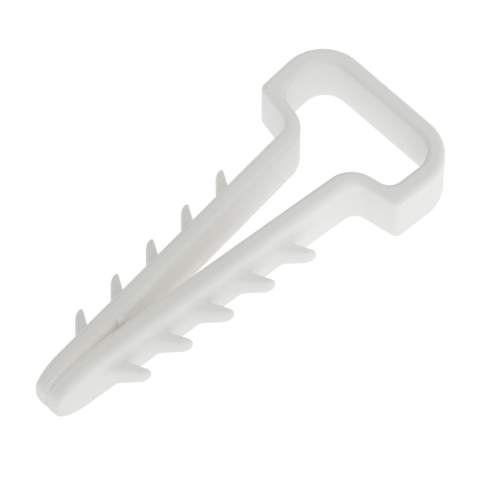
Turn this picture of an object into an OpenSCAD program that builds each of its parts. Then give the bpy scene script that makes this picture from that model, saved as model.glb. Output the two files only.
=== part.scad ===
// Push-in clip anchor for flat cable: a strap loop on two barbed legs, one moulding in white nylon.
// It lies flat: X is across the loop, Y runs from the nose up to the crown, Z is the moulding's depth.

/* [Overall] */
// Length from the crown's outer face to the nose's end
length = 43.2; // [40:0.1:56]
// Depth of the moulding, the same for every member
depth = 6.2; // [5:0.1:9]
// Radius that rounds the edges of the loop
edge_r = 0.6; // [0.15:0.05:0.7]

/* [Loop] */
// Outer width of the loop at half its height
loop_w = 18; // [16.8:0.1:26]
// Height of the loop, from the crown's outer face to the seat at the heel
loop_h = 8.3; // [7.8:0.1:12]
// Thickness of the crown bar
crown_t = 1.55; // [1:0.05:1.9]
// Thickness of the end walls
wall_t = 1.9; // [1.2:0.05:2.3]
// Lean of the end walls, which makes the loop wider at the crown
wall_lean = 2.8; // [0:0.1:6]
// Outer radius of the bows
bow_r = 4.3; // [3:0.1:4.6]
// Inner radius of the bows
bow_inner_r = 2.4; // [1.5:0.1:2.8]
// Outer radius of the heels
heel_r = 0.7; // [0.4:0.05:1.2]
// Inner radius of the heels
heel_inner_r = 1.45; // [0.5:0.05:1.7]

/* [Shoulders and necks] */
// Thickness of the shoulders
shoulder_t = 1.25; // [1:0.05:1.6]
// Slope of the shoulders, which drop towards the necks
shoulder_slope = 11; // [0:0.5:14]
// Gap between the legs at the level of the seat
mouth_w = 5.2; // [4.6:0.05:5.6]
// Radius of the neck on the side of the loop
neck_r = 2.9; // [1.6:0.05:3.1]
// Fillet between the shoulder and the leg's outer face
neck_fillet_r = 1.45; // [0.4:0.05:1.7]

/* [Legs] */
// Thickness of a leg at the seat
leg_root_t = 1.75; // [1.4:0.05:2.2]
// Thickness of a leg where the nose starts
leg_tip_t = 1.95; // [1.7:0.05:2.6]
// Radius that rounds the outer edges of the legs
leg_edge_r = 0.7; // [0.3:0.05:1.3]
// Radius that rounds the inner edges of the legs
leg_inner_edge_r = 0.6; // [0.2:0.05:0.8]
// Gap between the legs where they meet at the nose
slit = 0.12; // [0.1:0.02:0.5]
// Length of the nose
nose_l = 6.8; // [5.2:0.1:9]
// Half width of the nose at its end, from the slit outwards
nose_end_t = 1.4; // [0.8:0.05:1.6]
// Depth of the nose at its end
nose_end_d = 1.8; // [1.2:0.1:4]
// Length over which the nose's depth rounds down to its end
nose_round = 4.6; // [2:0.1:5]

/* [Barbs] */
// Distance from the nose's end to the root of the last barb
last_barb = 6.25; // [6.2:0.05:8]
// Spacing of the barbs along the leg
barb_pitch = 4.74; // [4:0.02:4.9]
// Height of a barb's tip above the leg
barb_h = 2.4; // [1.5:0.05:3]
// Rake of a barb towards the loop, from square to the leg
barb_rake = 42.5; // [20:0.5:48]
// Length of a barb's root along the leg, without its fillets
barb_root_l = 1.9; // [1.4:0.05:2.4]
// Length of a barb's tip along the leg
barb_tip_l = 1; // [0.8:0.05:1.35]
// Depth of a barb at its root, without its fillets
barb_root_d = 2.8; // [2:0.1:3]
// Depth of a barb at its tip
barb_tip_d = 1.6; // [1:0.1:2]
// Run of the fillet that flares a barb's front into the leg
barb_flare = 1.35; // [0.2:0.05:1.6]
// Height of that fillet
barb_flare_h = 0.95; // [0.3:0.05:1.3]
// Fillet on both sides of a barb's root and behind it
barb_fillet = 0.55; // [0.1:0.05:0.7]
// Height of the barb's rounded tip
barb_round = 0.4; // [0.2:0.05:0.7]

/* [Spacer rib] */
// Distance from the nose's start to the rib
rib_place = 2.5; // [1:0.1:4]
// How far the rib stands out of the leg's inner face
rib_h = 0.28; // [0.16:0.02:0.32]
// Length of the rib along the leg
rib_l = 0.85; // [0.5:0.05:1.2]
// Radius that rounds the rib's edges
rib_edge_r = 0.12; // [0.05:0.01:0.15]

/* [Hidden] */
// Barbs on each leg
barb_count = 5;
// Straight run kept on each side of a bend, so that the bends meet the bars square
lead = 0.1;
// Shortest straight shoulder that the neck's roundings leave beside the heel
shoulder_min = 0.3;
// Steps round a bend, round an edge, along the nose and up a barb
bend_steps = 8;
edge_steps = 4;
nose_steps = 12;
barb_steps = 7;
barb_sides = 20;
// Crowding of the nose's rings towards its end, and of a barb's rings towards its root
nose_crowding = 1.5;
barb_crowding = 1.6;
// Angles of the rings that round a barb's tip
tip_angles = [18, 38, 58, 76];
// Share of a wall that the rounding of its two edges may take
edge_share = 0.92;
// Squareness of a barb's section at its root and at its tip, where 2 is an ellipse
barb_root_square = 4.4;
barb_tip_square = 2.3;

white = [0.93, 0.93, 0.91];
$fn = 48;

// Plane geometry of the right-hand side, with each member's run followed from the crown to the nose
function turn_left(v) = [-v[1], v[0]];
function unit(v) = v / norm(v);
function mix(a, b, s) = a + (b - a) * s;
function cross_z(a, b) = a[0] * b[1] - a[1] * b[0];
function meet(p, u, q, v) = p + u * cross_z(q - p, v) / cross_z(u, v);
function at_height(p, u, y) = p + u * (y - p[1]) / u[1];
function fold(angle) = angle > 180 ? angle - 360 : angle < -180 ? angle + 360 : angle;

// Outline round a corner v, from a to b, with a fillet of radius r
function corner(a, v, b, r) =
    let (
        u = unit(a - v),
        w = unit(b - v),
        half = acos(u * w) / 2,
        c = v + unit(u + w) * r / sin(half),
        p = v + u * r / tan(half) - c,
        q = v + w * r / tan(half) - c,
        start = atan2(p[1], p[0]),
        sweep = fold(atan2(q[1], q[0]) - start)
    )
    [
        a,
        for (i = [0:bend_steps])
            let (angle = start + sweep * i / bend_steps) c + r * [cos(angle), sin(angle)],
        b
    ];

// Lengths of run that a bend takes before and after its outer corner
function half_tan(u, w) = tan(acos(u * w) / 2);
function run_in(v_out, v_in, u, w, r_out, r_in) =
    max(r_out * half_tan(u, w), r_in * half_tan(u, w) - (v_in - v_out) * u) + lead;
function run_out(v_out, v_in, u, w, r_out, r_in) =
    max(r_out * half_tan(u, w), r_in * half_tan(u, w) + (v_in - v_out) * w) + lead;

crown_y = length / 2;
seat_y = crown_y - loop_h;
nose_y = nose_l - length / 2;
end_y = -length / 2;
axis_z = depth / 2;

// Directions of the members, and the way out of each
crown_run = [1, 0];
wall_run = [-sin(wall_lean), -cos(wall_lean)];
shoulder_run = [-cos(shoulder_slope), -sin(shoulder_slope)];
leg_in_top = [mouth_w / 2, seat_y];
leg_out_top = leg_in_top + [leg_root_t, 0];
leg_in_end = [slit / 2, nose_y];
leg_out_end = leg_in_end + [leg_tip_t, 0];
leg_in_run = unit(leg_in_end - leg_in_top);
leg_out_run = unit(leg_out_end - leg_out_top);
crown_out = turn_left(crown_run);
wall_out = turn_left(wall_run);
shoulder_out = turn_left(shoulder_run);
leg_out = turn_left(leg_out_run);

// Corners where the members' faces would meet
crown_point = [0, crown_y];
wall_point = [loop_w / 2, crown_y - loop_h / 2];
bow_v_out = meet(crown_point, crown_run, wall_point, wall_run);
bow_v_in = meet(crown_point - crown_t * crown_out, crown_run, wall_point - wall_t * wall_out, wall_run);
heel_v_out = at_height(wall_point, wall_run, seat_y);
heel_in_point = heel_v_out - shoulder_t * shoulder_out;
heel_v_in = meet(wall_point - wall_t * wall_out, wall_run, heel_in_point, shoulder_run);
neck_v_out = meet(heel_v_out, shoulder_run, leg_out_top, leg_out_run);
neck_v_in = meet(heel_in_point, shoulder_run, leg_in_top, leg_in_run);

// Points on the members' outer faces where the bends start and end
bow_start = bow_v_out - crown_run * run_in(bow_v_out, bow_v_in, crown_run, wall_run, bow_r, bow_inner_r);
bow_end = bow_v_out + wall_run * run_out(bow_v_out, bow_v_in, crown_run, wall_run, bow_r, bow_inner_r);
heel_start = heel_v_out
    - wall_run * run_in(heel_v_out, heel_v_in, wall_run, shoulder_run, heel_r, heel_inner_r);
heel_end = heel_v_out
    + shoulder_run * run_out(heel_v_out, heel_v_in, wall_run, shoulder_run, heel_r, heel_inner_r);
neck_turn = half_tan(shoulder_run, leg_out_run);
neck_room = (neck_v_out - heel_end) * shoulder_run - lead - shoulder_min;
neck_fillet = min(neck_fillet_r, neck_room / neck_turn);
neck_round = min(neck_r, (neck_room + (neck_v_in - neck_v_out) * shoulder_run) / neck_turn);
neck_start = neck_v_out
    - shoulder_run * run_in(neck_v_out, neck_v_in, shoulder_run, leg_out_run, neck_fillet, neck_round);
neck_drop = max(
    neck_round * half_tan(shoulder_run, leg_in_run) - (neck_v_in - neck_v_out)[1],
    neck_fillet * neck_turn
);
neck_y = neck_v_out[1] - neck_drop - lead;
neck_in_end = at_height(leg_in_top, leg_in_run, neck_y);
neck_out_end = at_height(leg_out_top, leg_out_run, neck_y);

// Rounded-rectangle ring between an inner and an outer point, from z0 to z1
function ring(inner, outer, r_in, r_out, z0, z1) =
    let (
        t = norm(outer - inner),
        u = (outer - inner) / t,
        room = edge_share * min(t / (r_in + r_out), (z1 - z0) / (2 * max(r_in, r_out))),
        ri = r_in * min(room, 1),
        ro = r_out * min(room, 1),
        centres = [[ri, z0 + ri, ri], [t - ro, z0 + ro, ro], [t - ro, z1 - ro, ro], [ri, z1 - ri, ri]]
    )
    [
        for (k = [0:3])
            for (i = [0:edge_steps])
                let (
                    angle = 180 + 90 * (k + i / edge_steps),
                    c = centres[k],
                    p = inner + u * (c[0] + c[2] * cos(angle))
                )
                [p[0], p[1], c[1] + c[2] * sin(angle)]
    ];

// Solid through a list of rings that all have the same count of points
module loft(rings) {
    m = len(rings[0]);
    n = len(rings);
    polyhedron(
        points = [for (r = rings) each r],
        faces = [
            [for (j = [0:m - 1]) j],
            for (i = [0:n - 2])
                for (j = [0:m - 1])
                    let (a = i * m + j, b = i * m + (j + 1) % m)
                    each [[a, a + m, b + m], [a, b + m, b]],
            [for (j = [0:m - 1]) n * m - 1 - j]
        ]
    );
}

// Bend through matching inner and outer outlines, whose edges go from the loop's radius to given ones
module bend(inner, outer, inner_to, outer_to) {
    last = len(inner) - 1;
    loft([
        for (i = [0:last])
            let (s = i / last)
            ring(inner[i], outer[i], mix(edge_r, inner_to, s), mix(edge_r, outer_to, s), 0, depth)
    ]);
}

// Straight bar of constant section between two points on its outer face
module bar(from, to, t) {
    run = unit(to - from);
    r = min(edge_r, edge_share * t / 2);
    translate([from[0], from[1], 0])
        rotate([0, 0, atan2(run[1], run[0])])
            rotate([90, 0, 90])
                linear_extrude(norm(to - from)) {
                    polygon([
                        [-t, r], [-t + r, 0], [-r, 0], [0, r],
                        [0, depth - r], [-r, depth], [-t + r, depth], [-t, depth - r]
                    ]);
                    for (n = [-t + r, -r])
                        for (z = [r, depth - r])
                            translate([n, z]) circle(r);
                }
}

module crown_bar() {
    color(white) bar([-bow_start[0], crown_y], bow_start, crown_t);
}

module bow() {
    inner = corner(bow_start - crown_t * crown_out, bow_v_in, bow_end - wall_t * wall_out, bow_inner_r);
    outer = corner(bow_start, bow_v_out, bow_end, bow_r);
    color(white) bend(inner, outer, edge_r, edge_r);
}

module end_wall() {
    color(white) bar(bow_end, heel_start, wall_t);
}

module heel() {
    inner = corner(
        heel_start - wall_t * wall_out, heel_v_in, heel_end - shoulder_t * shoulder_out, heel_inner_r
    );
    outer = corner(heel_start, heel_v_out, heel_end, heel_r);
    color(white) bend(inner, outer, edge_r, edge_r);
}

module shoulder() {
    color(white) bar(heel_end, neck_start, shoulder_t);
}

module neck() {
    inner = corner(neck_start - shoulder_t * shoulder_out, neck_v_in, neck_in_end, neck_round);
    outer = corner(neck_start, neck_v_out, neck_out_end, neck_fillet);
    color(white) bend(inner, outer, leg_inner_edge_r, leg_edge_r);
}

module leg() {
    color(white) loft([
        ring(neck_in_end, neck_out_end, leg_inner_edge_r, leg_edge_r, 0, depth),
        ring(leg_in_end, leg_out_end, leg_inner_edge_r, leg_edge_r, 0, depth)
    ]);
}

// Half depth of the nose at a distance from its end, a quarter of an ellipse
function nose_half_d(from_end) =
    let (s = 1 - min(from_end / nose_round, 1))
    mix(nose_end_d, depth, sqrt(1 - s * s)) / 2;

// Length over which the nose's outer face curves in, which starts past the foot of the last barb
nose_curve = min(last_barb - barb_root_l / 2 - barb_flare - lead, nose_l);

// Outer face of the nose at a distance from its end: on from the leg, then curved in to the end
function nose_x(from_end) =
    let (
        s = 1 - min(from_end / nose_curve, 1),
        straight = at_height(leg_out_end, leg_out_run, end_y + max(from_end, nose_curve))[0]
    )
    mix(straight, slit / 2 + nose_end_t, s * s);

module nose() {
    color(white) loft([
        for (i = [0:nose_steps])
            let (
                from_end = nose_l * pow(1 - i / nose_steps, nose_crowding),
                y = end_y + from_end,
                half_d = nose_half_d(from_end)
            )
            ring(
                [slit / 2, y], [nose_x(from_end), y], leg_inner_edge_r, leg_edge_r,
                axis_z - half_d, axis_z + half_d
            )
    ]);
}

// How far an elliptic fillet of a given run and rise stands out at a height above its foot
function fillet_run(height, run, rise) =
    let (up = 1 - min(height / rise, 1))
    run * (1 - sqrt(1 - up * up));

// Ring of a barb at a height above the leg, shrunk by a factor where the tip is rounded
function barb_ring(base, height, shrink) =
    let (
        s = height / barb_h,
        front = fillet_run(height, barb_flare, barb_flare_h),
        side = fillet_run(height, barb_fillet, barb_fillet),
        half_l = (mix(barb_root_l, barb_tip_l, s) * shrink + front + side) / 2,
        half_d = mix(barb_root_d, barb_tip_d, s) * shrink / 2 + side,
        square = mix(barb_root_square, barb_tip_square, s),
        middle = base + leg_out * height - leg_out_run * (height * tan(barb_rake) - (front - side) / 2)
    )
    [
        for (j = [0:barb_sides - 1])
            let (
                angle = 360 * (j + 0.5) / barb_sides,
                c = sign(cos(angle)) * pow(abs(cos(angle)), 2 / square),
                d = sign(sin(angle)) * pow(abs(sin(angle)), 2 / square),
                p = middle + leg_out_run * half_l * c
            )
            [p[0], p[1], axis_z - half_d * d]
    ];

module barb(number) {
    last_base = at_height(leg_out_top, leg_out_run, end_y + last_barb);
    base = last_base - leg_out_run * barb_pitch * (barb_count - number);
    straight = barb_h - barb_round;
    color(white) loft([
        for (i = [0:barb_steps]) barb_ring(base, straight * pow(i / barb_steps, barb_crowding), 1),
        for (angle = tip_angles) barb_ring(base, straight + barb_round * sin(angle), cos(angle))
    ]);
}

// Ring of the rib at a distance from the leg's inner face, drawn in where its end is rounded
function rib_ring(reach, inset) =
    let (
        middle = at_height(leg_in_top, leg_in_run, nose_y + rib_place) - turn_left(leg_in_run) * reach,
        half = leg_in_run * (rib_l / 2 - inset),
        low = leg_inner_edge_r + inset
    )
    ring(middle - half, middle + half, rib_edge_r, rib_edge_r, low, depth - low);

module spacer_rib() {
    color(white) left() loft([
        rib_ring(0, 0),
        for (i = [0:edge_steps])
            let (angle = 90 * i / edge_steps)
            rib_ring(rib_h - rib_edge_r * (1 - sin(angle)), rib_edge_r * (1 - cos(angle)))
    ]);
}

// The left-hand side is the right-hand side mirrored
module left() {
    mirror([1, 0, 0]) children();
}

crown_bar();
left() bow();  // left_bow
bow();  // right_bow
left() end_wall();  // left_end_wall
end_wall();  // right_end_wall
left() heel();  // left_heel
heel();  // right_heel
left() shoulder();  // left_shoulder
shoulder();  // right_shoulder
left() neck();  // left_neck
neck();  // right_neck
left() leg();  // left_leg
leg();  // right_leg
left() nose();  // left_nose
nose();  // right_nose
for (i = [1:barb_count]) {
    left() barb(i);
    barb(i);
}
spacer_rib();
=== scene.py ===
import math

import bpy
from bpy.props import FloatProperty, FloatVectorProperty, IntProperty, PointerProperty
from bpy.types import Operator, Panel, PropertyGroup
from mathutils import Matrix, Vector


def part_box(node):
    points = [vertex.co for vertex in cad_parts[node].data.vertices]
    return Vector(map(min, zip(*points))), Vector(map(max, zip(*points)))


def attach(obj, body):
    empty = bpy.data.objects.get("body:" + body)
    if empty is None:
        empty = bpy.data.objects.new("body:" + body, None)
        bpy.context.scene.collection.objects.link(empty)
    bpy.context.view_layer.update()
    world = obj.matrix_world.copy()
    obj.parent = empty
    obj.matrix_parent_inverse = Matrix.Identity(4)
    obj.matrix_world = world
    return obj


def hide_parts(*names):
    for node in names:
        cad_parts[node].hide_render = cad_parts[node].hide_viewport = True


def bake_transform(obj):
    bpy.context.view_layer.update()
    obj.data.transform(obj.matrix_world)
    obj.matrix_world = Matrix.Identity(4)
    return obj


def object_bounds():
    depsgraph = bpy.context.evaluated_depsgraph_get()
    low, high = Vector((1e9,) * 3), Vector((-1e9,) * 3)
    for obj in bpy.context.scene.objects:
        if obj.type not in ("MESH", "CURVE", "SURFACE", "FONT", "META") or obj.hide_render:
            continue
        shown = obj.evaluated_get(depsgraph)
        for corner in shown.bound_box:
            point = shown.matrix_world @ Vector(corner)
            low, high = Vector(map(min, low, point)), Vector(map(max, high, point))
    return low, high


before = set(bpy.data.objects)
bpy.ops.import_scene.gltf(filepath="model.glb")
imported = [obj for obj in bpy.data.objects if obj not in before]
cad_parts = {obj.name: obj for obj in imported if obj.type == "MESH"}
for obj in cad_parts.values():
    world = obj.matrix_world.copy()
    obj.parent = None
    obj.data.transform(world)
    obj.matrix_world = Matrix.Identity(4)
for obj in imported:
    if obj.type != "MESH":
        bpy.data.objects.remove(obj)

bl_info = {
    "name": "Flat-cable clip anchor",
    "version": (1, 0, 0),
    "blender": (4, 5, 0),
    "location": "View3D > Sidebar > Clip anchor",
    "description": "Dresses a push-in clip anchor, one moulding in natural white nylon, and sets its stage",
    "category": "Object",
}

MM = 0.001
CAD_LOW, CAD_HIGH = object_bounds()
CROWN_LOW, CROWN_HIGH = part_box("crown_bar")
NOSE_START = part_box("right_nose")[1].y
SIDES = (("right", 1), ("left", -1))


def linear(code):
    """Linear colour from an sRGB hex code."""
    channels = [int(code[i:i + 2], 16) / 255 for i in (1, 3, 5)]
    return tuple(c / 12.92 if c <= 0.04045 else ((c + 0.055) / 1.055) ** 2.4 for c in channels)


def length(name, text, mm):
    """A size, given in millimetres and kept in metres."""
    return FloatProperty(name=name, description=text, default=mm * MM, unit="LENGTH", precision=5)


def angle(name, text, degrees):
    """An angle, given in degrees and kept in radians."""
    return FloatProperty(name=name, description=text, default=math.radians(degrees), subtype="ANGLE")


def colour(name, text, code):
    """A colour, given as an sRGB hex code and kept linear."""
    return FloatVectorProperty(
        name=name, description=text, default=linear(code), subtype="COLOR", min=0, max=1)


def fraction(name, text, value):
    """A part of a whole."""
    return FloatProperty(name=name, description=text, default=value, subtype="FACTOR", min=0, max=1)


def strength(name, text, value):
    """A strength of light."""
    return FloatProperty(name=name, description=text, default=value, min=0)


class LoopSizes(PropertyGroup):
    """Sizes of the strap loop."""

    # A hair under the solid's 18 mm, so that the finer bows stay inside its box
    width: length("Loop width", "Outer width of the loop at half its height", 17.99)
    height: length("Loop height", "From the crown's outer face to the seat at the heel", 8.3)
    crown: length("Crown", "Thickness of the crown bar", (CROWN_HIGH.y - CROWN_LOW.y) / MM)
    wall: length("End wall", "Thickness of the end walls", 1.9)
    lean: angle("Wall lean", "Lean of the end walls", 2.8)
    bow: length("Bow", "Outer radius of the bows", 4.3)
    bow_inner: length("Bow inside", "Inner radius of the bows", 2.4)
    heel: length("Heel", "Outer radius of the heels", 0.7)
    heel_inner: length("Heel inside", "Inner radius of the heels", 1.45)
    edge: length("Edge", "Radius that rounds the loop's edges", 0.6)
    lead: length("Lead", "Straight run on each side of a bend", 0.1)


class LegSizes(PropertyGroup):
    """Sizes of the shoulders, necks, legs and noses."""

    shoulder: length("Shoulder", "Thickness of the shoulders", 1.25)
    slope: angle("Shoulder slope", "How far the shoulders drop towards the necks", 11)
    mouth: length("Mouth", "Gap between the legs at the level of the seat", 5.2)
    neck: length("Neck", "Radius of the neck on the side of the loop", 2.9)
    neck_fillet: length("Neck fillet", "Fillet between the shoulder and the leg's outer face", 1.45)
    root: length("Leg root", "Thickness of a leg at the seat", 1.75)
    tip: length("Leg tip", "Thickness of a leg where the nose starts", 1.95)
    edge: length("Leg edge", "Radius that rounds the outer edges of the legs", 0.7)
    inner_edge: length("Leg inner edge", "Radius that rounds the inner edges of the legs", 0.6)
    slit: length("Slit", "Gap between the legs at the nose", 0.12)
    nose: length("Nose", "Length of the nose", 6.8)
    nose_end: length("Nose end", "Half width of the nose at its end", 1.4)
    nose_depth: length("Nose depth", "Depth of the nose at its end", 1.8)
    nose_round: length("Nose round", "Length over which the nose rounds down to its end", 4.6)
    end_round: length("End round", "Radius that softens the rim of the nose's end", 0.25)


class BarbSizes(PropertyGroup):
    """Sizes of the barbs and of the spacer rib."""

    count: IntProperty(name="Barbs", description="Barbs on each leg", default=5, min=1, max=5)
    last: length("Last barb", "From the nose's end to the root of the last barb", 6.25)
    pitch: length("Pitch", "Spacing of the barbs along the leg", 4.74)
    height: length("Height", "Height of a barb's tip above the leg", 2.4)
    rake: angle("Rake", "Rake of a barb towards the loop", 42.5)
    root: length("Root", "Length of a barb at its root along the leg, without its fillets", 1.9)
    tip: length("Tip", "Length of a barb's tip along the leg", 1)
    root_depth: length("Root depth", "Depth of a barb at its root, without its fillets", 2.8)
    tip_depth: length("Tip depth", "Depth of a barb at its tip", 1.6)
    flare: length("Flare", "Run of the fillet that flares a barb's front into the leg", 1.35)
    flare_height: length("Flare height", "Height of that fillet", 0.95)
    fillet: length("Fillet", "Fillet behind a barb's root", 0.55)
    side_fillet: length("Side fillet", "Fillet on both sides of a barb's root", 0.5)
    tip_round: length("Tip round", "Height of the barb's rounded tip", 0.4)
    sink: length("Sink", "How far the foot of a barb's fillets dips under the leg's face", 0.008)
    foot: length("Foot", "How far that foot runs out past the fillets", 0.12)
    rib_place: length("Rib place", "From the nose's start to the rib", 2.5)
    rib_height: length("Rib height", "How far the rib stands out of the leg's inner face", 0.28)
    rib_length: length("Rib length", "Length of the rib along the leg", 0.85)
    rib_root: length("Rib root", "How far the rib reaches into the leg's rounded edges", 0.6)
    rib_edge: length("Rib edge", "Radius that rounds the rib's edges", 0.12)


class NylonLook(PropertyGroup):
    """Finish of the moulding."""

    pale: colour("Pale", "Colour of the clearer nylon", "#f2f2f1")
    cloud: colour("Cloud", "Colour of the faintly warmer clouds in it", "#efefed")
    cloud_size: length("Cloud size", "Width of the clouds", 5)
    # Painted shade: the skin along the shank is drawn a shade darker than the rest, for light that goes on
    # through the walls there.
    painted_shank_shade: colour("Thin", "Colour of the skin where light also comes through it", "#e9e9e7")
    # A real grain is about 0.05 mm wide, too fine for the picture, so it is drawn coarser
    grain_size: length("Grain size", "Width of the mould's spark-eroded grain", 0.3)
    grain_depth: length("Grain depth", "Depth of the grain", 0.004)
    flow_size: length("Flow size", "Width of the soft ripples where the melt cooled", 2.2)
    flow_depth: length("Flow depth", "Depth of the ripples", 0.012)
    roughness: fraction("Roughness", "Mean roughness", 0.48)
    roughness_spread: fraction("Roughness spread", "How far the grain moves it up or down", 0.06)
    ior: FloatProperty(name="IOR", description="Refractive index of nylon", default=1.53, min=1, max=2)
    glow: colour("Glow", "Colour of the light that comes through the nylon", "#fbf9f7")
    nose_cut: length("Nose cut", "Where the noses start, along the anchor", NOSE_START / MM)
    glow_share: fraction("Glow share", "Share of the light let through into the slit", 0.42)
    skin_share: fraction("Skin share", "Share of the light let through elsewhere", 0.05)
    glow_start: length("Glow start", "Place along the shank where light starts to come through", 8)
    glow_full: length("Glow full", "Place along the shank where most light comes through", -4)


class StageLook(PropertyGroup):
    """Floor, light and camera."""

    azimuth: angle("Azimuth", "Where the camera stands round the object", 46.3)
    elevation: angle("Elevation", "How high the camera looks down from", 60)
    distance: length("Distance", "From the camera to the point that it stands off", 500)
    stand_y: length("Stand-off point", "Place on the anchor's axis that the camera stands off", -2.4)
    aim_x: length("Aim across", "Place across the loop at the middle of the picture", 0.1818)
    aim_y: length("Aim along", "Place along the shank at the middle of the picture", 2.0179)
    lens: FloatProperty(name="Lens", description="Focal length", default=421.6, unit="CAMERA")
    floor: colour("Floor", "Colour of the floor", "#4a4a4a")
    floor_glow: strength("Floor glow", "Light that the table gives", 0.95)
    sky: colour("Tent", "Colour of the soft light all round", "#fffffd")
    key_azimuth: angle("Key side", "Side of the tent that is brightest, from the camera's own azimuth", 49.8)
    key_elevation: angle("Key height", "Height of the tent's brightest place", 51)
    key_power: strength("Key strength", "Light from the tent's brightest place", 0.88)
    far_power: strength("Far strength", "Light from the place across from it", 0.201)


# Steps round a bend, round an edge, along the nose, up a barb, round a barb and over its tip
BEND_STEPS = 28
EDGE_STEPS = 10
NOSE_STEPS = 44
BARB_STEPS = 14
BARB_SIDES = 48
TIP_STEPS = 10
# Share of a step by which the last ring over a barb's tip stays open
TIP_OPEN = 0.4
# How far a nose laps into its leg, so that no two faces lie in one plane
NOSE_LAP = 0.005 * MM
# How far the rib's ends stay under the leg's top and bottom
RIB_DROP = 0.02 * MM
# Crowding of the nose's rings towards its end, and of a barb's rings towards its root
NOSE_CROWDING = 1.5
BARB_CROWDING = 1.6
# Squareness of a barb's section at its root and at its tip, where 2 is an ellipse
BARB_ROOT_SQUARE = 4.4
BARB_TIP_SQUARE = 2.3
# Share of a wall that the rounding of its two edges may take
EDGE_SHARE = 0.92
# Distance from a rounded edge to the extra row that keeps the flat beside it flat
SUPPORT = 0.06 * MM
# Share of a barb's height over which it bends
BARB_BEND_SHARE = 0.7
# Degrees between two faces from which the edge between them stays crisp
CAP_ANGLE = 84
# How squarely a face looks to the middle plane where it gets the slit's full glow
SLIT_FACING = -0.9
# How near the noses' start, and how squarely along the anchor, a face counts as one that touches
TOUCH_REACH = 0.05 * MM
TOUCH_FACING = 0.98


def plane(x, y):
    """A point or direction in the plan."""
    return Vector((x, y))


def turn_left(v):
    """Direction a quarter turn to the left."""
    return plane(-v.y, v.x)


def cross_z(a, b):
    """Height of the cross product of two directions in the plan."""
    return a.x * b.y - a.y * b.x


def meet(p, u, q, v):
    """Where the line from p along u meets the line from q along v."""
    return p + u * cross_z(q - p, v) / cross_z(u, v)


def at_height(p, u, y):
    """Where the line from p along u reaches y."""
    return p + u * (y - p.y) / u.y


def heading(line, i):
    """Direction of an outline at one of its points."""
    return (line[min(i + 1, len(line) - 1)] - line[max(i - 1, 0)]).normalized()


def corner(a, v, b, r):
    """Outline round a corner v, from a to b, with a fillet of radius r."""
    u = (a - v).normalized()
    w = (b - v).normalized()
    half = u.angle(w) / 2
    centre = v + (u + w).normalized() * r / math.sin(half)
    p = v + u * r / math.tan(half) - centre
    q = v + w * r / math.tan(half) - centre
    start = math.atan2(p.y, p.x)
    sweep = (math.atan2(q.y, q.x) - start + math.pi) % (2 * math.pi) - math.pi
    turns = [start + sweep * i / BEND_STEPS for i in range(BEND_STEPS + 1)]
    return [a, *(centre + r * plane(math.cos(t), math.sin(t)) for t in turns), b]


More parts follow.
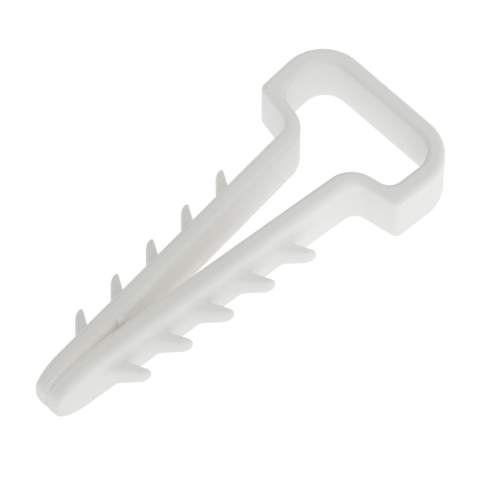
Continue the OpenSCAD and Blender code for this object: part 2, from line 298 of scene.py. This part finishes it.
class Layout:
    """Places of the right-hand side's members, followed from the crown to the nose."""

    def __init__(self, scene):
        loop, leg = scene.clip_loop, scene.clip_leg
        self.loop, self.leg, self.barb = loop, leg, scene.clip_barb
        self.low, self.high = CAD_LOW.z, CAD_HIGH.z
        self.axis_z = (self.low + self.high) / 2
        self.crown_y = CAD_HIGH.y
        self.end_y = CAD_LOW.y
        self.seat_y = self.crown_y - loop.height
        self.nose_y = self.end_y + leg.nose
        self.crown_run = plane(1, 0)
        self.wall_run = plane(-math.sin(loop.lean), -math.cos(loop.lean))
        self.shoulder_run = plane(-math.cos(leg.slope), -math.sin(leg.slope))
        self.leg_in_top = plane(leg.mouth / 2, self.seat_y)
        self.leg_out_top = self.leg_in_top + plane(leg.root, 0)
        self.leg_in_end = plane(leg.slit / 2, self.nose_y)
        self.leg_out_end = self.leg_in_end + plane(leg.tip, 0)
        self.leg_in_run = (self.leg_in_end - self.leg_in_top).normalized()
        self.leg_out_run = (self.leg_out_end - self.leg_out_top).normalized()
        self.place_corners()
        self.place_bends()

    def place_corners(self):
        """Corners where the members' outer and inner faces would meet."""
        loop, leg = self.loop, self.leg
        crown_point = plane(0, self.crown_y)
        wall_point = plane(loop.width / 2, self.crown_y - loop.height / 2)
        self.crown_in = loop.crown * turn_left(self.crown_run)
        self.wall_in = loop.wall * turn_left(self.wall_run)
        self.shoulder_in = leg.shoulder * turn_left(self.shoulder_run)
        self.bow_out = meet(crown_point, self.crown_run, wall_point, self.wall_run)
        self.bow_in = meet(
            crown_point - self.crown_in, self.crown_run, wall_point - self.wall_in, self.wall_run)
        self.heel_out = at_height(wall_point, self.wall_run, self.seat_y)
        below = self.heel_out - self.shoulder_in
        self.heel_in = meet(wall_point - self.wall_in, self.wall_run, below, self.shoulder_run)
        self.neck_out = meet(self.heel_out, self.shoulder_run, self.leg_out_top, self.leg_out_run)
        self.neck_in = meet(below, self.shoulder_run, self.leg_in_top, self.leg_in_run)

    def place_bends(self):
        """Points on the outer faces where the bends start and end."""
        loop, leg = self.loop, self.leg
        self.bow_start, self.bow_end = self.span(
            self.bow_out, self.bow_in, self.crown_run, self.wall_run, loop.bow, loop.bow_inner)
        self.heel_start, self.heel_end = self.span(
            self.heel_out, self.heel_in, self.wall_run, self.shoulder_run, loop.heel, loop.heel_inner)
        self.neck_start, _ = self.span(
            self.neck_out, self.neck_in, self.shoulder_run, self.leg_out_run, leg.neck_fillet, leg.neck)
        drop_in = leg.neck * math.tan(self.shoulder_run.angle(self.leg_in_run) / 2)
        drop_out = leg.neck_fillet * math.tan(self.shoulder_run.angle(self.leg_out_run) / 2)
        drop = max(drop_in - (self.neck_in - self.neck_out).y, drop_out)
        neck_y = self.neck_out.y - drop - loop.lead
        self.neck_in_end = at_height(self.leg_in_top, self.leg_in_run, neck_y)
        self.neck_out_end = at_height(self.leg_out_top, self.leg_out_run, neck_y)

    def span(self, v_out, v_in, u, w, r_out, r_in):
        """Start and end of a bend on its outer face."""
        half = math.tan(u.angle(w) / 2)
        before = max(r_out * half, r_in * half - (v_in - v_out).dot(u)) + self.loop.lead
        after = max(r_out * half, r_in * half + (v_in - v_out).dot(w)) + self.loop.lead
        return v_out - u * before, v_out + w * after

    def ring(self, inner, outer, r_in, r_out, low=None, high=None, skew=(1, 1)):
        """Rounded-rectangle section between an inner and an outer point, whose edges are drawn wider by the
        skew where the section cuts the inner or the outer face aslant."""
        low = self.low if low is None else low
        high = self.high if high is None else high
        t = (outer - inner).length
        u = (outer - inner) / t
        taken = r_in * skew[0] + r_out * skew[1]
        room = min(EDGE_SHARE * min(t / taken, (high - low) / (2 * max(r_in, r_out))), 1)
        ri, ro = r_in * room, r_out * room
        wi, wo = ri * skew[0], ro * skew[1]
        centres = [
            (wi, low + ri, wi, ri),
            (t - wo, low + ro, wo, ro),
            (t - wo, high - ro, wo, ro),
            (wi, high - ri, wi, ri),
        ]
        rounds = []
        for k, (c, z, w, r) in enumerate(centres):
            turns = [math.pi + math.pi / 2 * (k + i / EDGE_STEPS) for i in range(EDGE_STEPS + 1)]
            rounds.append([(c + w * math.cos(a), z + r * math.sin(a)) for a in turns])
        outline = []
        for k, arc in enumerate(rounds):
            first = Vector(arc[-1])
            last = Vector(rounds[(k + 1) % 4][0])
            step = (last - first).normalized() * min(SUPPORT, (last - first).length / 3)
            outline += [*arc, first + step, last - step]
        return [Vector((*(inner + u * n), z)) for n, z in outline]

    def bend(self, inner, outer, inner_to, outer_to):
        """Sections round a bend, whose edges go from the loop's radius to those of the next member."""
        edge = self.loop.edge
        rings = []
        for i, (p, q) in enumerate(zip(inner, outer)):
            s = i / (len(inner) - 1)
            across = (q - p).normalized()
            skew = [1 / abs(across.dot(turn_left(heading(line, i)))) for line in (inner, outer)]
            r_in = edge + (inner_to - edge) * s
            r_out = edge + (outer_to - edge) * s
            rings.append(self.ring(p, q, r_in, r_out, skew=skew))
        return rings

    def leg_drop(self, y, off):
        """How far the leg's rounded outer edge falls away at a distance from the middle of its depth."""
        leg = self.leg
        outer = at_height(self.leg_out_top, self.leg_out_run, y)
        t = outer.x - at_height(self.leg_in_top, self.leg_in_run, y).x
        r = leg.edge * min(EDGE_SHARE * t / (leg.inner_edge + leg.edge), 1)
        over = max(abs(off) - (self.axis_z - self.low - r), 0)
        return r - math.sqrt(max(r * r - over * over, 0))

    def bar(self, start, end, inward):
        """Two sections of a straight bar between points on its outer face."""
        return [self.ring(p - inward, p, self.loop.edge, self.loop.edge) for p in (start, end)]


def add_node(tree, kind, settings=None, links=None):
    """Adds a shader node, sets its properties and sockets, and links its inputs."""
    node = tree.nodes.new(kind)
    for name, value in (settings or {}).items():
        if isinstance(name, int) or name in node.inputs:
            node.inputs[name].default_value = value
        else:
            setattr(node, name, value)
    for name, socket in (links or {}).items():
        tree.links.new(socket, node.inputs[name])
    return node


def new_material(name):
    """An empty node material with its output."""
    material = bpy.data.materials.new(name)
    material.use_nodes = True
    material.node_tree.nodes.clear()
    return material, material.node_tree, add_node(material.node_tree, "ShaderNodeOutputMaterial")


def moulded_natural_nylon(look):
    """Unpigmented nylon from a fine spark-eroded mould: milky white, faintly warm where light has crossed
    more of it, with a satin sheen and no gloss lines. A painted shade makes its skin a little darker
    along the shank, where light also comes through it."""
    name = "moulded_natural_nylon"
    if name in bpy.data.materials:
        return bpy.data.materials[name]
    material, tree, output = new_material(name)
    place = add_node(tree, "ShaderNodeTexCoord").outputs["Object"]
    clouds = add_node(
        tree, "ShaderNodeTexNoise", {"Scale": 1 / look.cloud_size, "Detail": 3.0}, {"Vector": place})
    tint = add_node(
        tree, "ShaderNodeMix",
        {"data_type": "RGBA", 6: (*look.pale, 1), 7: (*look.cloud, 1)}, {"Factor": clouds.outputs["Fac"]})
    spot = add_node(tree, "ShaderNodeSeparateXYZ", links={"Vector": place}).outputs
    share = add_node(
        tree, "ShaderNodeMapRange",
        {"interpolation_type": "SMOOTHSTEP", "From Min": look.glow_start, "From Max": look.glow_full},
        {"Value": spot["Y"]}).outputs["Result"]
    # Painted shade: the base colour goes over to the darker painted shade along the shank, as the glow share
    # rises.
    tint_and_painted_shade = add_node(
        tree, "ShaderNodeMix",
        {"data_type": "RGBA", 7: (*look.painted_shank_shade, 1)}, {"Factor": share, 6: tint.outputs[2]})
    grain = add_node(
        tree, "ShaderNodeTexNoise", {"Scale": 1 / look.grain_size, "Detail": 2.0}, {"Vector": place})
    flow = add_node(
        tree, "ShaderNodeTexNoise", {"Scale": 1 / look.flow_size, "Detail": 1.0}, {"Vector": place})
    ripple = add_node(
        tree, "ShaderNodeBump", {"Strength": 1.0, "Distance": look.flow_depth},
        {"Height": flow.outputs["Fac"]})
    skin = add_node(
        tree, "ShaderNodeBump", {"Strength": 1.0, "Distance": look.grain_depth},
        {"Height": grain.outputs["Fac"], "Normal": ripple.outputs["Normal"]})
    sheen = add_node(
        tree, "ShaderNodeMapRange",
        {
            "To Min": look.roughness - look.roughness_spread,
            "To Max": look.roughness + look.roughness_spread,
        },
        {"Value": grain.outputs["Fac"]})
    surface = add_node(
        tree, "ShaderNodeBsdfPrincipled",
        {"IOR": look.ior},
        {
            "Base Color": tint_and_painted_shade.outputs[2],
            "Roughness": sheen.outputs["Result"],
            "Normal": skin.outputs["Normal"],
        },
    )
    through = add_node(
        tree, "ShaderNodeBsdfTranslucent", {"Color": (*look.glow, 1)}, {"Normal": skin.outputs["Normal"]})
    # Light that has crossed a wall comes out mostly on the faces that look into the slit.
    normal = add_node(tree, "ShaderNodeTexCoord").outputs["Normal"]
    lean = add_node(tree, "ShaderNodeSeparateXYZ", links={"Vector": normal}).outputs
    side = add_node(tree, "ShaderNodeMath", {"operation": "SIGN"}, {0: spot["X"]})
    away = add_node(
        tree, "ShaderNodeMath", {"operation": "MULTIPLY"}, {0: lean["X"], 1: side.outputs["Value"]})
    slit = add_node(
        tree, "ShaderNodeMapRange",
        {
            "interpolation_type": "SMOOTHSTEP",
            "From Min": 0.0,
            "From Max": SLIT_FACING,
            "To Min": look.skin_share,
            "To Max": look.glow_share,
        },
        {"Value": away.outputs["Value"]})
    skin_share = add_node(
        tree, "ShaderNodeMath", {"operation": "MULTIPLY"}, {0: share, 1: slit.outputs["Result"]})
    # Light inside a wall goes on through it, and through the faces where a nose and its leg touch.
    inside = add_node(tree, "ShaderNodeNewGeometry").outputs["Backfacing"]
    level = add_node(
        tree, "ShaderNodeMath",
        {"operation": "COMPARE", 1: look.nose_cut, 2: TOUCH_REACH}, {0: spot["Y"]})
    square = add_node(tree, "ShaderNodeMath", {"operation": "ABSOLUTE"}, {0: lean["Y"]})
    facing = add_node(
        tree, "ShaderNodeMath",
        {"operation": "GREATER_THAN", 1: TOUCH_FACING}, {0: square.outputs["Value"]})
    touch = add_node(
        tree, "ShaderNodeMath", {"operation": "MULTIPLY"},
        {0: level.outputs["Value"], 1: facing.outputs["Value"]})
    clear = add_node(
        tree, "ShaderNodeMath", {"operation": "MAXIMUM"}, {0: touch.outputs["Value"], 1: inside})
    amount = add_node(
        tree, "ShaderNodeMath", {"operation": "MAXIMUM"},
        {0: skin_share.outputs["Value"], 1: clear.outputs["Value"]})
    milky = add_node(
        tree, "ShaderNodeMixShader", links={
            "Fac": amount.outputs["Value"], 1: surface.outputs["BSDF"], 2: through.outputs["BSDF"]})
    tree.links.new(milky.outputs["Shader"], output.inputs["Surface"])
    return material


def lit_opal_acrylic(look):
    """Opal acrylic sheet lit from below, as on a product table: even, shadowless white."""
    material, tree, output = new_material("lit_opal_acrylic")
    surface = add_node(
        tree, "ShaderNodeBsdfPrincipled",
        {
            "Base Color": (*look.floor, 1),
            "Roughness": 0.6,
            "Emission Color": (1, 1, 1, 1),
            "Emission Strength": look.floor_glow,
        },
    )
    tree.links.new(surface.outputs["BSDF"], output.inputs["Surface"])
    return material


def add_mesh(name, points, faces, material):
    """A smooth mesh object whose end faces keep crisp rims."""
    mesh = bpy.data.meshes.new(name)
    mesh.from_pydata([tuple(p) for p in points], [], faces)
    mesh.validate()
    mesh.shade_smooth()
    mesh.set_sharp_from_angle(angle=math.radians(CAP_ANGLE))
    mesh.materials.append(material)
    piece = bpy.data.objects.new(name, mesh)
    bpy.context.scene.collection.objects.link(piece)
    return piece


def add_loft(name, rings, side, material):
    """A closed skin through sections of equal count, mirrored for the left-hand side."""
    count = len(rings[0])
    points = [Vector((side * p.x, p.y, p.z)) for ring in rings for p in ring]
    last = (len(rings) - 1) * count
    faces = [list(reversed(range(count))), [last + j for j in range(count)]]
    for i in range(len(rings) - 1):
        for j in range(count):
            a, b = i * count + j, i * count + (j + 1) % count
            faces.append([a, b, b + count, a + count])
    if side < 0:
        faces = [face[::-1] for face in faces]
    return add_mesh(name, points, faces, material)


def seat(piece, node, body):
    """The piece stands for a node and rides on its body."""
    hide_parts(node)
    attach(piece, body)


def flex(piece, node, fixed, moved, start, end):
    """The piece stands for a node that bends between two bodies: this hides the node's solid and bakes the
    piece's place into its mesh. The bodies, start and end are not used.
    """
    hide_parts(node)
    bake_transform(piece)


def bend_span(rings, side):
    """Where a bend starts and ends: past all of its first section, and short of all of its last."""
    ends = [[Vector((side * p.x, p.y, p.z)) for p in ring] for ring in (rings[0], rings[-1])]
    start, end = (sum(ring, Vector()) / len(ring) for ring in ends)
    run = end - start
    shares = [[(p - start).dot(run) / run.length_squared for p in ring] for ring in ends]
    return start + run * max(shares[0]), start + run * min(shares[1])


class CLIP_OT_crown(Operator):
    """Make the bar across the top of the loop"""

    bl_idname = "clip.crown"
    bl_label = "Crown bar"

    def execute(self, context):
        plan = Layout(context.scene)
        nylon = moulded_natural_nylon(context.scene.clip_nylon)
        start = plane(-plan.bow_start.x, plan.bow_start.y)
        piece = add_loft("crown_bar_moulding", plan.bar(start, plan.bow_start, plan.crown_in), 1, nylon)
        seat(piece, "crown_bar", "crown")
        return {"FINISHED"}


class CLIP_OT_bows(Operator):
    """Make the round upper corners of the loop, which flex as the sides are squeezed"""

    bl_idname = "clip.bows"
    bl_label = "Bows"

    def execute(self, context):
        plan = Layout(context.scene)
        nylon = moulded_natural_nylon(context.scene.clip_nylon)
        loop = plan.loop
        inner = corner(
            plan.bow_start - plan.crown_in, plan.bow_in, plan.bow_end - plan.wall_in, loop.bow_inner)
        outer = corner(plan.bow_start, plan.bow_out, plan.bow_end, loop.bow)
        rings = plan.bend(inner, outer, loop.edge, loop.edge)
        for name, side in SIDES:
            piece = add_loft(f"{name}_bow_moulding", rings, side, nylon)
            flex(piece, f"{name}_bow", "crown", f"{name}_wall", *bend_span(rings, side))
        return {"FINISHED"}


class CLIP_OT_end_walls(Operator):
    """Make the short sides of the loop"""

    bl_idname = "clip.end_walls"
    bl_label = "End walls"

    def execute(self, context):
        plan = Layout(context.scene)
        nylon = moulded_natural_nylon(context.scene.clip_nylon)
        rings = plan.bar(plan.bow_end, plan.heel_start, plan.wall_in)
        for name, side in SIDES:
            piece = add_loft(f"{name}_end_wall_moulding", rings, side, nylon)
            seat(piece, f"{name}_end_wall", f"{name}_wall")
        return {"FINISHED"}


class CLIP_OT_heels(Operator):
    """Make the crisp lower corners of the loop, which flex as it opens"""

    bl_idname = "clip.heels"
    bl_label = "Heels"

    def execute(self, context):
        plan = Layout(context.scene)
        nylon = moulded_natural_nylon(context.scene.clip_nylon)
        loop = plan.loop
        inner = corner(
            plan.heel_start - plan.wall_in, plan.heel_in, plan.heel_end - plan.shoulder_in, loop.heel_inner)
        outer = corner(plan.heel_start, plan.heel_out, plan.heel_end, loop.heel)
        rings = plan.bend(inner, outer, loop.edge, loop.edge)
        for name, side in SIDES:
            piece = add_loft(f"{name}_heel_moulding", rings, side, nylon)
            flex(piece, f"{name}_heel", f"{name}_wall", f"{name}_seat", *bend_span(rings, side))
        return {"FINISHED"}


class CLIP_OT_shoulders(Operator):
    """Make the seats that rest on the wall"""

    bl_idname = "clip.shoulders"
    bl_label = "Shoulders"

    def execute(self, context):
        plan = Layout(context.scene)
        nylon = moulded_natural_nylon(context.scene.clip_nylon)
        rings = plan.bar(plan.heel_end, plan.neck_start, plan.shoulder_in)
        for name, side in SIDES:
            piece = add_loft(f"{name}_shoulder_moulding", rings, side, nylon)
            seat(piece, f"{name}_shoulder", f"{name}_seat")
        return {"FINISHED"}


class CLIP_OT_necks(Operator):
    """Make the bends from the shoulders into the legs, which flex as the legs close"""

    bl_idname = "clip.necks"
    bl_label = "Necks"

    def execute(self, context):
        plan = Layout(context.scene)
        nylon = moulded_natural_nylon(context.scene.clip_nylon)
        leg = plan.leg
        inner = corner(plan.neck_start - plan.shoulder_in, plan.neck_in, plan.neck_in_end, leg.neck)
        outer = corner(plan.neck_start, plan.neck_out, plan.neck_out_end, leg.neck_fillet)
        rings = plan.bend(inner, outer, leg.inner_edge, leg.edge)
        for name, side in SIDES:
            piece = add_loft(f"{name}_neck_moulding", rings, side, nylon)
            flex(piece, f"{name}_neck", f"{name}_seat", f"{name}_shank", *bend_span(rings, side))
        return {"FINISHED"}


class CLIP_OT_legs(Operator):
    """Make the two half shanks"""

    bl_idname = "clip.legs"
    bl_label = "Legs"

    def execute(self, context):
        plan = Layout(context.scene)
        nylon = moulded_natural_nylon(context.scene.clip_nylon)
        ends = ((plan.neck_in_end, plan.neck_out_end), (plan.leg_in_end, plan.leg_out_end))
        rings = [plan.ring(i, o, plan.leg.inner_edge, plan.leg.edge) for i, o in ends]
        for name, side in SIDES:
            piece = add_loft(f"{name}_leg_moulding", rings, side, nylon)
            seat(piece, f"{name}_leg", f"{name}_shank")
        return {"FINISHED"}


def nose_ring(plan, from_end):
    """Section of the nose at a distance from its end: a quarter ellipse in depth, an outer face that curves
    in past the last barb's foot, and a softened rim."""
    leg, barb = plan.leg, plan.barb
    s = 1 - min(from_end / leg.nose_round, 1)
    depth = plan.high - plan.low
    half = (leg.nose_depth + (depth - leg.nose_depth) * math.sqrt(1 - s * s)) / 2
    y = plan.end_y + from_end
    curve = barb.last - barb.root / 2 - barb.flare - plan.loop.lead
    turned = 1 - min(from_end / curve, 1)
    straight = at_height(plan.leg_out_end, plan.leg_out_run, plan.end_y + max(from_end, curve)).x
    outer = straight + (leg.slit / 2 + leg.nose_end - straight) * turned ** 2
    gone = max(leg.end_round - from_end, 0)
    inset = leg.end_round - math.sqrt(leg.end_round ** 2 - gone ** 2)
    inner_edge = leg.inner_edge + (leg.end_round - leg.inner_edge) * s
    return plan.ring(
        plane(leg.slit / 2, y), plane(outer - inset, y), inner_edge, leg.edge,
        plan.axis_z - half + inset, plan.axis_z + half - inset)


class CLIP_OT_noses(Operator):
    """Make the snub tapered ends of the legs"""

    bl_idname = "clip.noses"
    bl_label = "Noses"

    def execute(self, context):
        plan = Layout(context.scene)
        nylon = moulded_natural_nylon(context.scene.clip_nylon)
        shares = [(1 - i / NOSE_STEPS) ** NOSE_CROWDING for i in range(NOSE_STEPS + 1)]
        rings = [nose_ring(plan, (plan.leg.nose + NOSE_LAP) * share) for share in shares]
        for name, side in SIDES:
            piece = add_loft(f"{name}_nose_moulding", rings, side, nylon)
            seat(piece, f"{name}_nose", f"{name}_shank")
        return {"FINISHED"}


def fillet_run(height, run, rise):
    """How far an elliptic fillet, of that run and rise, still stands out at a height above its foot."""
    up = min(max(1 - height / rise, 0), 1)
    return run * (1 - math.sqrt(1 - up * up))


def barb_ring(plan, base, height, shrink):
    """Section of a barb at a height above the leg, shrunk where the tip is rounded."""
    barb = plan.barb
    level = max(height, 0)
    s = level / barb.height
    foot = barb.foot if height < 0 else 0
    front = fillet_run(level, barb.flare, barb.flare_height) + foot
    back = fillet_run(level, barb.fillet, barb.fillet) + foot
    side = fillet_run(level, barb.side_fillet, barb.side_fillet) + foot
    half_l = ((barb.root + (barb.tip - barb.root) * s) * shrink + front + back) / 2
    half_d = (barb.root_depth + (barb.tip_depth - barb.root_depth) * s) * shrink / 2 + side
    square = BARB_ROOT_SQUARE + (BARB_TIP_SQUARE - BARB_ROOT_SQUARE) * s
    forward = (front - back) / 2 - level * math.tan(barb.rake)
    out = turn_left(plan.leg_out_run)
    middle = base + out * height + plan.leg_out_run * forward
    ring = []
    for j in range(BARB_SIDES):
        turn = 2 * math.pi * (j + 0.5) / BARB_SIDES
        along, across = (
            math.copysign(abs(v) ** (2 / square), v) for v in (math.cos(turn), math.sin(turn)))
        off = half_d * across
        p = middle + plan.leg_out_run * half_l * along - out * plan.leg_drop(base.y, off)
        ring.append(Vector((*p, plan.axis_z - off)))
    return ring


class CLIP_OT_barbs(Operator):
    """Make the raked thorns that grip the hole, each of which flexes at its root"""

    bl_idname = "clip.barbs"
    bl_label = "Barbs"

    def execute(self, context):
        plan = Layout(context.scene)
        nylon = moulded_natural_nylon(context.scene.clip_nylon)
        barb = plan.barb
        out = turn_left(plan.leg_out_run)
        last = at_height(plan.leg_out_top, plan.leg_out_run, plan.end_y + barb.last)
        straight = barb.height - barb.tip_round
        climb = [straight * (i / BARB_STEPS) ** BARB_CROWDING for i in range(BARB_STEPS + 1)]
        turns = [math.pi / 2 * i / (TIP_STEPS + TIP_OPEN) for i in range(1, TIP_STEPS + 1)]
        levels = [(-barb.sink, 1), *((h, 1) for h in climb)]
        levels += [(straight + barb.tip_round * math.sin(t), math.cos(t)) for t in turns]
        for number in range(1, barb.count + 1):
            base = last - plan.leg_out_run * barb.pitch * (barb.count - number)
            rings = [barb_ring(plan, base, height, shrink) for height, shrink in levels]
            bend_end = base + out * barb.height * BARB_BEND_SHARE
            for name, side in SIDES:
                node = f"{name}_barb_{number}"
                piece = add_loft(f"{node}_moulding", rings, side, nylon)
                start, end = (Vector((side * p.x, p.y, plan.axis_z)) for p in (base, bend_end))
                flex(piece, node, f"{name}_shank", node, start, end)
        return {"FINISHED"}


class CLIP_OT_spacer_rib(Operator):
    """Make the small upright rib on the left leg's inner face"""

    bl_idname = "clip.spacer_rib"
    bl_label = "Spacer rib"

    def execute(self, context):
        plan = Layout(context.scene)
        nylon = moulded_natural_nylon(context.scene.clip_nylon)
        barb = plan.barb
        place = at_height(plan.leg_in_top, plan.leg_in_run, plan.nose_y + barb.rib_place)
        inward = -turn_left(plan.leg_in_run)
        turns = [math.pi / 2 * i / EDGE_STEPS for i in range(EDGE_STEPS + 1)]
        rounding = [(barb.rib_height - barb.rib_edge * (1 - math.sin(t)), 1 - math.cos(t)) for t in turns]
        rings = []
        for reach, inset in [(-barb.rib_root, 0), *rounding]:
            drop = RIB_DROP + barb.rib_edge * inset
            half = plan.leg_in_run * (barb.rib_length / 2 - barb.rib_edge * inset)
            middle = place + inward * reach
            rings.append(plan.ring(
                middle - half, middle + half, barb.rib_edge, barb.rib_edge,
                plan.low + drop, plan.high - drop))
        piece = add_loft("spacer_rib_moulding", rings, -1, nylon)
        seat(piece, "spacer_rib", "left_shank")
        return {"FINISHED"}


class CLIP_OT_stage(Operator):
    """Set the floor, the soft light and the camera"""

    bl_idname = "clip.stage"
    bl_label = "Stage"

    def execute(self, context):
        look = context.scene.clip_stage
        self.lay_floor(look)
        self.light(context.scene, look)
        self.place_camera(context.scene, look)
        context.scene.view_settings.view_transform = "Standard"
        return {"FINISHED"}

    def lay_floor(self, look):
        """A wide round table top just under the object."""
        reach, sides = 1.5, 64
        turns = [2 * math.pi * i / sides for i in range(sides)]
        points = [(reach * math.cos(t), reach * math.sin(t), CAD_LOW.z) for t in turns]
        floor = add_mesh("floor", points, [list(range(sides))], lit_opal_acrylic(look))

    def light(self, scene, look):
        """A light tent, brightest on one side."""
        world = bpy.data.worlds.new("light_tent")
        world.use_nodes = True
        tree = world.node_tree
        turn = look.azimuth + look.key_azimuth
        level = math.cos(look.key_elevation)
        key = (math.sin(turn) * level, -math.cos(turn) * level, math.sin(look.key_elevation))
        way = add_node(tree, "ShaderNodeTexCoord").outputs["Generated"]
        facing = add_node(tree, "ShaderNodeVectorMath", {"operation": "DOT_PRODUCT", 1: key}, {0: way})
        power = add_node(
            tree, "ShaderNodeMapRange",
            {"From Min": -1.0, "To Min": look.far_power, "To Max": look.key_power},
            {"Value": facing.outputs["Value"]})
        background = tree.nodes["Background"]
        background.inputs["Color"].default_value = (*look.sky, 1)
        tree.links.new(power.outputs["Result"], background.inputs["Strength"])
        scene.world = world

    def place_camera(self, scene, look):
        """A long lens far off, at the photograph's angle."""
        middle_z = (CAD_LOW.z + CAD_HIGH.z) / 2
        level = math.cos(look.elevation)
        back = Vector((
            math.sin(look.azimuth) * level, -math.cos(look.azimuth) * level, math.sin(look.elevation)))
        eye = Vector((0, look.stand_y, middle_z)) + back * look.distance
        aim = Vector((look.aim_x, look.aim_y, middle_z))
        lens = bpy.data.cameras.new("camera")
        lens.lens = look.lens
        camera = bpy.data.objects.new("camera", lens)
        camera.location = eye
        camera.rotation_euler = (aim - eye).to_track_quat("-Z", "Y").to_euler()
        scene.collection.objects.link(camera)
        scene.camera = camera


PIECES = (
    CLIP_OT_crown, CLIP_OT_bows, CLIP_OT_end_walls, CLIP_OT_heels, CLIP_OT_shoulders, CLIP_OT_necks,
    CLIP_OT_legs, CLIP_OT_noses, CLIP_OT_barbs, CLIP_OT_spacer_rib, CLIP_OT_stage,
)
GROUPS = {
    "clip_loop": LoopSizes, "clip_leg": LegSizes, "clip_barb": BarbSizes,
    "clip_nylon": NylonLook, "clip_stage": StageLook,
}


class CLIP_PT_anchor(Panel):
    """Pieces of the clip anchor"""

    bl_idname = "CLIP_PT_anchor"
    bl_label = "Clip anchor"
    bl_space_type = "VIEW_3D"
    bl_region_type = "UI"
    bl_category = "Clip anchor"

    def draw(self, context):
        for piece in PIECES:
            self.layout.operator(piece.bl_idname)


def register():
    """Registers the sizes, the looks, the operators and the panel."""
    for name, group in GROUPS.items():
        bpy.utils.register_class(group)
        setattr(bpy.types.Scene, name, PointerProperty(type=group))
    for piece in (*PIECES, CLIP_PT_anchor):
        bpy.utils.register_class(piece)


def unregister():
    """Takes back what register added."""
    for piece in reversed((*PIECES, CLIP_PT_anchor)):
        bpy.utils.unregister_class(piece)
    for name, group in GROUPS.items():
        delattr(bpy.types.Scene, name)
        bpy.utils.unregister_class(group)


def main():
    """Registers the add-on, then makes every piece and the stage."""
    register()
    for piece in PIECES:
        group, name = piece.bl_idname.split(".")
        getattr(getattr(bpy.ops, group), name)()


if __name__ == "__main__":
    main()
